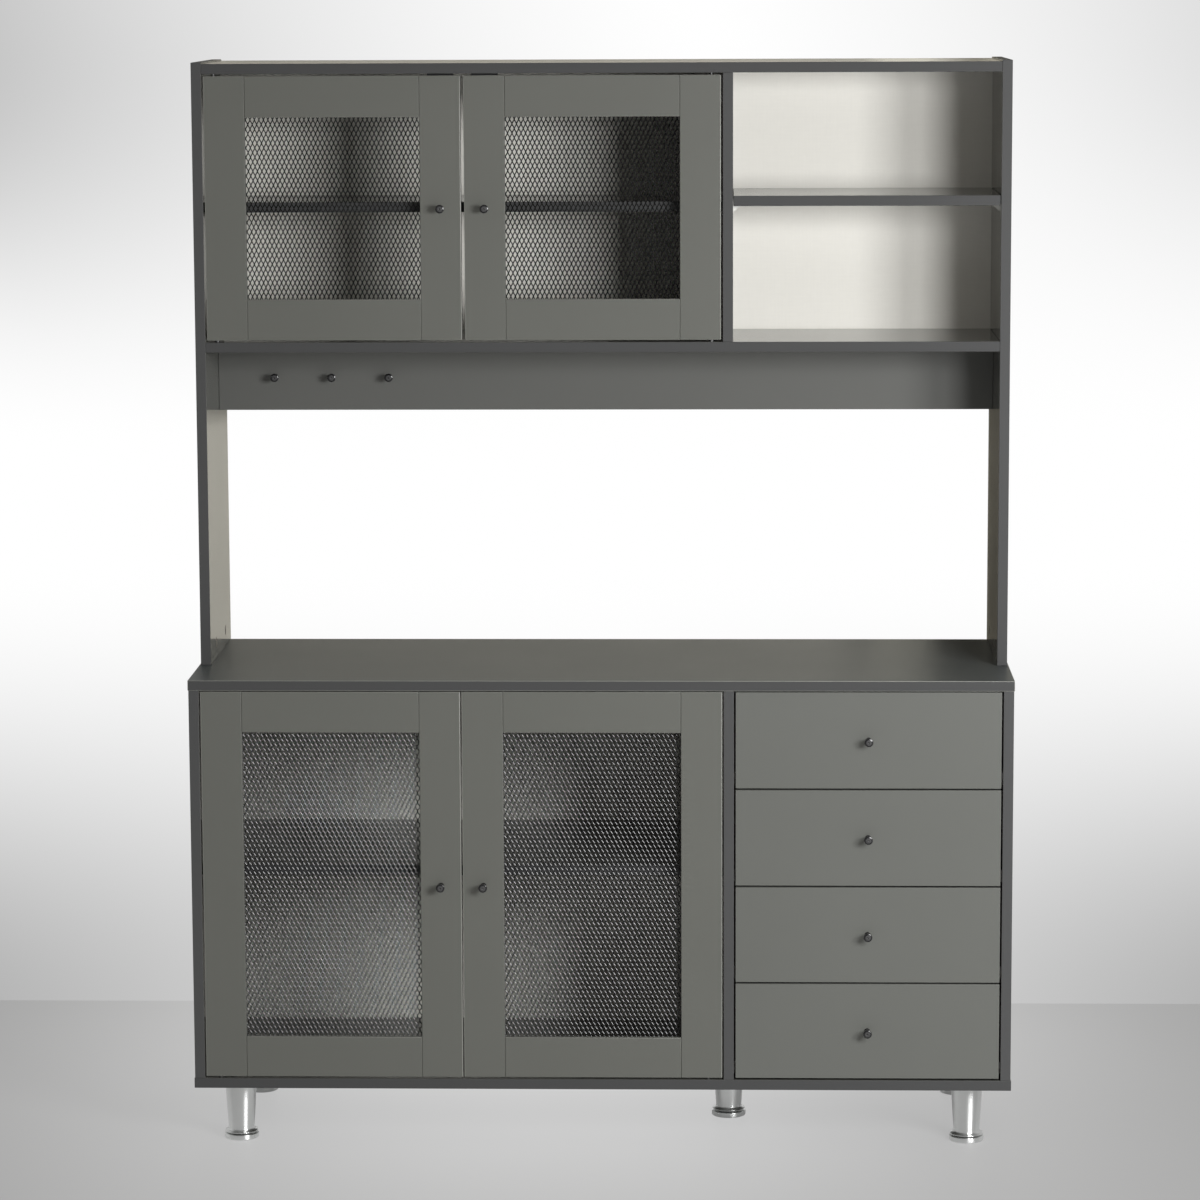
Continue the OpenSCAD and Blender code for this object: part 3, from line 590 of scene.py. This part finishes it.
def knobOutline():
    k = knob
    swell = [(k["waist"] + (k["head"] - k["waist"]) * (1 - math.cos(math.pi * t / 8)) / 2,
              k["neck"] + k["swell"] * t / 8) for t in range(1, 9)]
    return (
        [(0, 0), (k["base"], 0), (k["base"], k["baseDepth"])]
        + arc((k["waist"] + k["sweep"], k["sweepUp"]), k["sweep"], 222, 180, steps=5)
        + [(k["waist"], k["neck"])]
        + swell
        + arc((k["head"] - k["round"], k["proud"] - k["bevelDepth"] - k["round"]), k["round"], 0, 70)
        + [(k["face"], k["proud"])]
        + [(radius, k["proud"] - depth) for radius, depth in k["dimple"]]
    )


def screwOutline(length):
    # from its tip in the knob to the middle of its domed head behind the board
    k = knob
    tip = -k["screwReach"]
    dome = [(k["screwHead"] * x, length + k["screwRim"] + (k["screwHeadDepth"] - k["screwRim"]) * y)
            for x, y in arc((0, 0), 1.0, 0, 90)]
    return (
        [(0, tip), (k["screwTip"], tip), (k["screw"], tip + k["screwTaper"])]
        + [(k["screw"], length), (k["screwHead"], length)]
        + dome[:-1]
        + [(0, length + k["screwHeadDepth"])]
    )


def knobsAt(node, points, boardThick, label):
    # each point is the middle of a knob's foot on the board's front face
    for n, point in enumerate(points, 1):
        number = f"_{n}" if len(points) > 1 else ""
        front = Matrix.Translation(point) @ Matrix.Rotation(math.radians(90), 4, "X")
        rear = Matrix.Translation(point) @ Matrix.Rotation(math.radians(-90), 4, "X")
        turned = turnedMesh("turned knob", knobOutline(), front, knob["steps"])
        for face in turned.polygons:
            face.material_index = int(face.normal.y < -0.995)   # the flat face is satin, and a lighter grey that paints its sheen
        lacquers = [finishes["knob_black"], finishes["knob_face_sheen"]]
        newPiece(label + number, node, turned, lacquers, replace=n == 1)
        screw = turnedMesh("knob screw", screwOutline(boardThick), rear, knob["screwSteps"])
        newPiece(label + "_screw" + number, node, screw, [finishes["screw_zinc"]], replace=False)


for owner in doors + drawers:
    node = owner + "_knob"
    low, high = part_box(node)
    foot = Vector(((low.x + high.x) / 2, low.y + knob["proud"] * mm, (low.z + high.z) / 2))
    knobsAt(node, [foot], knob["frontThick"], owner + "_turned_knob")
hookLeast = (knob["head"] + knob["screwHead"]) * mm   # a hook's width lies above this, a screw's below
hooks = sorted((low.x + high.x) / 2 for low, high in solidsOf("rail_hooks") if high.x - low.x > hookLeast)
low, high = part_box("rail_hooks")
feet = [Vector((x, low.y + knob["proud"] * mm, (low.z + high.z) / 2)) for x in hooks]
knobsAt("rail_hooks", feet, knob["railThick"], "rail_hook")
print("knobs and hooks turned:", len(hooks), "hooks")

# Legs: a tapered tube with a flared end over a screw foot. Sizes are radii, heights and depths in mm
leg = {
    "height": 90, "top": 23.5, "bottom": 19.0, "wall": 1.5, "steps": 96,
    "plate": 32.5, "plateDepth": 3, "plateEdge": 0.4,
    "flare": 24.5, "flareDepth": 5, "lip": 0.8,
    "sweep": 3.35, "sweepOut": 3.4, "sweepUp": 0.6,   # hollow curve over the flare, and its centre
    "gap": 2, "foot": 25.5, "footDepth": 8, "footLow": 1.6, "footHigh": 1.2,   # the last two are roundings
    "stem": 4, "stemPlay": 0.1, "stemReach": 16,
}


def legOutline():
    k = leg
    low, underPlate = k["footDepth"] + k["gap"], k["height"] - k["plateDepth"]
    flared, bore = low + k["flareDepth"], k["stem"] + k["stemPlay"]
    return (
        [(bore, low), (k["flare"] - k["lip"], low)]
        + arc((k["flare"] - k["lip"], low + k["lip"]), k["lip"], -90, 60)
        + arc((k["bottom"] + k["sweepOut"], flared + k["sweepUp"]), k["sweep"], 245, 183, steps=8)
        + [(k["top"], underPlate), (k["plate"] - k["plateEdge"], underPlate)]
        + [(k["plate"], underPlate + k["plateEdge"]), (k["plate"], k["height"])]
        + [(k["top"] - k["wall"], k["height"]), (k["bottom"] - k["wall"], flared), (bore, flared)]
    )


def footOutline():
    k = leg
    stemTop = k["footDepth"] + k["stemReach"]
    return (
        [(0, 0), (k["foot"] - k["footLow"], 0)]
        + arc((k["foot"] - k["footLow"], k["footLow"]), k["footLow"], -90, 0)
        + arc((k["foot"] - k["footHigh"], k["footDepth"] - k["footHigh"]), k["footHigh"], 0, 90)
        + [(k["stem"], k["footDepth"]), (k["stem"], stemTop), (0, stemTop)]
    )


for node in legs:
    low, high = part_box(node)
    spot = Matrix.Translation(((low.x + high.x) / 2, (low.y + high.y) / 2, 0))
    tube = turnedMesh("leg tube", legOutline(), spot, leg["steps"], closed=True)
    newPiece(node + "_tube", node, tube, [finishes["leg_chrome"]])
    foot = turnedMesh("leg foot", footOutline(), spot, leg["steps"])
    newPiece(node + "_foot", node, foot, [finishes["leg_chrome"]], replace=False)
print("legs turned")

# Small hardware, with its edges eased, and all other nodes, which keep their shape
hardware = {"shelf_supports": 0.3 * mm, "drawer_runners": 0.2 * mm, "door_catches": 0.8 * mm}
for node, radius in hardware.items():
    easedCopy(node, radius, finishes[slotOf[node]])
for node, piece in frame["nodes"].items():
    if not piece.hide_render:
        piece.data.materials.clear()
        piece.data.materials.append(finishes[slotOf[node]])
print("hardware dressed")

# Camera: its place in metres, its turns in degrees, its lens and film width in mm,
# and the photograph's width in thousands of pixels
eye = {
    "at": (0.1882, -6.3146, 1.7035), "down": 8.2363, "left": 1.7555, "roll": -0.2341,
    "lens": 128.55, "film": 36, "photo": 1.2,
}
turn = Euler((math.radians(90 - eye["down"]), 0, math.radians(eye["left"]))).to_matrix()
eyeTurn = turn @ Matrix.Rotation(math.radians(eye["roll"]), 3, "Z")


def makeCamera():
    data = bpy.data.cameras.new("camera")
    data.lens, data.sensor_width = eye["lens"], eye["film"]
    camera = bpy.data.objects.new("camera", data)
    bpy.context.scene.collection.objects.link(camera)
    camera.matrix_world = Matrix.Translation(eye["at"]) @ eyeTurn.to_4x4()
    bpy.context.scene.camera = camera


# Stage
def onStage(name, points, material):
    mesh = bpy.data.meshes.new(name)
    mesh.from_pydata(points, [], [(0, 1, 2, 3)])
    mesh.materials.append(material)
    thing = bpy.data.objects.new(name, mesh)
    bpy.context.scene.collection.objects.link(thing)
    return thing


def seenRay(f):
    # 1 for what the camera, a mirror or glass sees, and 0 for light on its way
    mirrored = f.lightPath("Is Glossy Ray") + f.lightPath("Is Transmission Ray")
    return (f.lightPath("Is Camera Ray") + mirrored).limited()


def smooth(signal):
    t = signal.limited()
    return t * t * (3 - 2 * t)


# A pale floor that ends behind the hutch
floor = {
    "side": 6.0, "front": 8.4, "rear": 0.725,
    "seen": 0.12, "lit": 0.80,           # how pale it is where it is seen, and where light bounces off it
    "glow": (0.22, 0.395),               # its own light, far off and what is added at the middle, which is a painted pool of light brightest behind the hutch that hides much of its shadow
    "glowAt": (-0.08, 0.6), "glowSize": (0.84, 1.5),
    # a painted shadow: mirrors see the floor beneath the hutch darker, by this share
    "under": {"middle": 0.07, "halfX": 0.62, "halfY": 0.13, "soft": 0.04, "dark": 0.58},
}


def makeFloor():
    f = newFinish("pale floor", Roughness=0.6, Specular_IOR_Level=0.1, Emission_Strength=1.0)
    seen = seenRay(f)
    x, y = f.axis("X"), f.axis("Y")
    (atX, atY), (wide, deep) = floor["glowAt"], floor["glowSize"]
    away = ((x - atX) / wide) ** 2 + ((y - atY) / deep) ** 2
    under = floor["under"]
    inX = smooth((under["halfX"] - x.size()) / under["soft"])
    inY = smooth((under["halfY"] - (y - under["middle"]).size()) / under["soft"])
    # painted shadow, seen only by glossy rays
    dark = inX * inY * under["dark"] * f.lightPath("Is Glossy Ray")
    far, near = floor["glow"]
    glow = (far + near * math.e ** (0 - away)) * seen * (1 - dark)
    cloud = f.noise(1.5) * 0.04 + 0.98
    black, white = (0, 0, 0), (1, 1, 1)
    material = f.varies(
        Base_Color=f.blend(seen, shade(white, floor["lit"]), shade(white, floor["seen"])),
        Emission_Color=f.blend(glow * cloud, black, white))
    side, front, rear = floor["side"], floor["front"], floor["rear"]
    onStage("floor", [(-side, -front, 0), (side, -front, 0), (side, rear, 0), (-side, rear, 0)], material)


# A warm wall right behind the hutch that only its glossy boards mirror, with painted shade towards its right
# end and a strip of painted light
wall = {
    "low": (-0.64, 0.60), "high": (0.64, 1.90), "at": 0.235,
    # the shade colour is painted shade towards the right end, added to the real shadows that the lamps cast
    # on the wall
    "paint": (0.92, 0.885, 0.78), "shade": (0.47, 0.44, 0.36), "shadeFrom": 0.51, "shadeOver": 0.05,
    "glowFrom": 0.385, "glowTo": 0.52, "glowSoft": 0.045,   # a strip of painted light that lifts the right side's shadow
    "glow": (0.29, 0.28, 0.235),
}


def makeWall():
    f = newFinish("warm wall", Roughness=0.9, Emission_Strength=1.0)
    x = f.axis("X")
    # painted shade towards the right end, and painted light in the glow strip
    share = (smooth((x - wall["shadeFrom"]) / wall["shadeOver"]) + (f.noise(3) - 0.5) * 0.06).limited()
    glow = smooth((x - wall["glowFrom"]) / wall["glowSoft"]) * smooth((wall["glowTo"] - x) / wall["glowSoft"])
    material = f.varies(
        Base_Color=f.blend(share, wall["paint"], wall["shade"]),
        Emission_Color=f.blend(glow, (0, 0, 0), wall["glow"]))
    (x0, z0), (x1, z1), y = wall["low"], wall["high"], wall["at"]
    sheet = onStage("mirrored wall", [(x0, y, z0), (x1, y, z0), (x1, y, z1), (x0, y, z1)], material)
    sheet.visible_camera = sheet.visible_diffuse = sheet.visible_shadow = sheet.visible_transmission = False


# A pale backdrop, darker towards its upper corners and lower edge, in thousands of pixels of the photograph
backdrop = {
    "raise": 0.116,                                     # height of its middle over the camera's aim
    "top": {"from": 0.035, "over": 0.396, "middle": 0.24, "lean": 0.30, "leanTo": 0.5,
            "sideTo": 0.75, "power": 1.5, "fade": 0.724},
    "low": {"from": 0.079, "over": 0.452, "middle": 0.42, "sideTo": 0.60, "fade": 0.44, "spread": 0.56},
    "warmth": (1.0, 0.965, 0.91), "ambient": 0.34,      # colour and strength of the light that it gives
    "room": 0.30, "roomFrom": 0.35, "roomOver": 0.5,    # what mirrors see on the camera's side
}


def makeWorld():
    world = bpy.data.worlds.new("pale room")
    bpy.context.scene.world = world
    f = Finish(world, "Background")
    seen = seenRay(f)
    away = f.node("ShaderNodeTexCoord", out="Generated")
    right, up, back = (tuple(eyeTurn.col[i]) for i in range(3))
    pixels = eye["lens"] / eye["film"] * eye["photo"]
    side = away.dot(right) * pixels
    rise = away.dot(up) * pixels - backdrop["raise"]
    top, low = backdrop["top"], backdrop["low"]
    leaning = side - top["middle"] + rise.limited(0, top["leanTo"]) * top["lean"]
    aside = leaning.size().limited(0, top["sideTo"])
    darkTop = smooth((rise - top["from"]) / top["over"]) * (aside ** top["power"] * top["fade"])
    aside = side.size().limited(0, low["sideTo"]) - low["middle"]
    darkLow = smooth((0 - rise - low["from"]) / low["over"]) * (low["fade"] + low["spread"] * aside)
    # 1 behind the hutch, and 0 where the camera stands
    behind = smooth((backdrop["roomFrom"] - away.dot(back)) / backdrop["roomOver"])
    room = f.lightPath("Is Glossy Ray") * (1 - behind)
    glow = (1 - darkTop - darkLow) * (1 - room) + backdrop["room"] * room
    f.feed(f.shader.inputs["Color"], f.blend(seen, backdrop["warmth"], (1, 1, 1)))
    f.feed(f.shader.inputs["Strength"], seen * glow + (1 - seen) * backdrop["ambient"])


# Two lamps on the right, in metres and watts
lamps = {
    "near key": {"at": (1.43, -2.60, 1.50), "aim": (0.1, 0.0, -0.77), "size": (0.60, 1.0), "power": 42.5},
    "far key": {"at": (2.59, -2.93, 1.50), "aim": (0.1, 0.0, -0.77), "size": (0.75, 1.0), "power": 67.5},
}


def makeLamps():
    for name, lamp in lamps.items():
        data = bpy.data.lights.new(name, "AREA")
        data.shape, data.size, data.size_y, data.energy = "RECTANGLE", *lamp["size"], lamp["power"]
        made = bpy.data.objects.new(name, data)
        bpy.context.scene.collection.objects.link(made)
        made.location = lamp["at"]
        toward = Vector(lamp["aim"]) - made.location
        made.rotation_euler = toward.to_track_quat("-Z", "Y").to_euler()


makeFloor()
makeWall()
makeWorld()
makeLamps()
makeCamera()
bpy.context.scene.view_settings.view_transform = "Standard"
print("stage set")
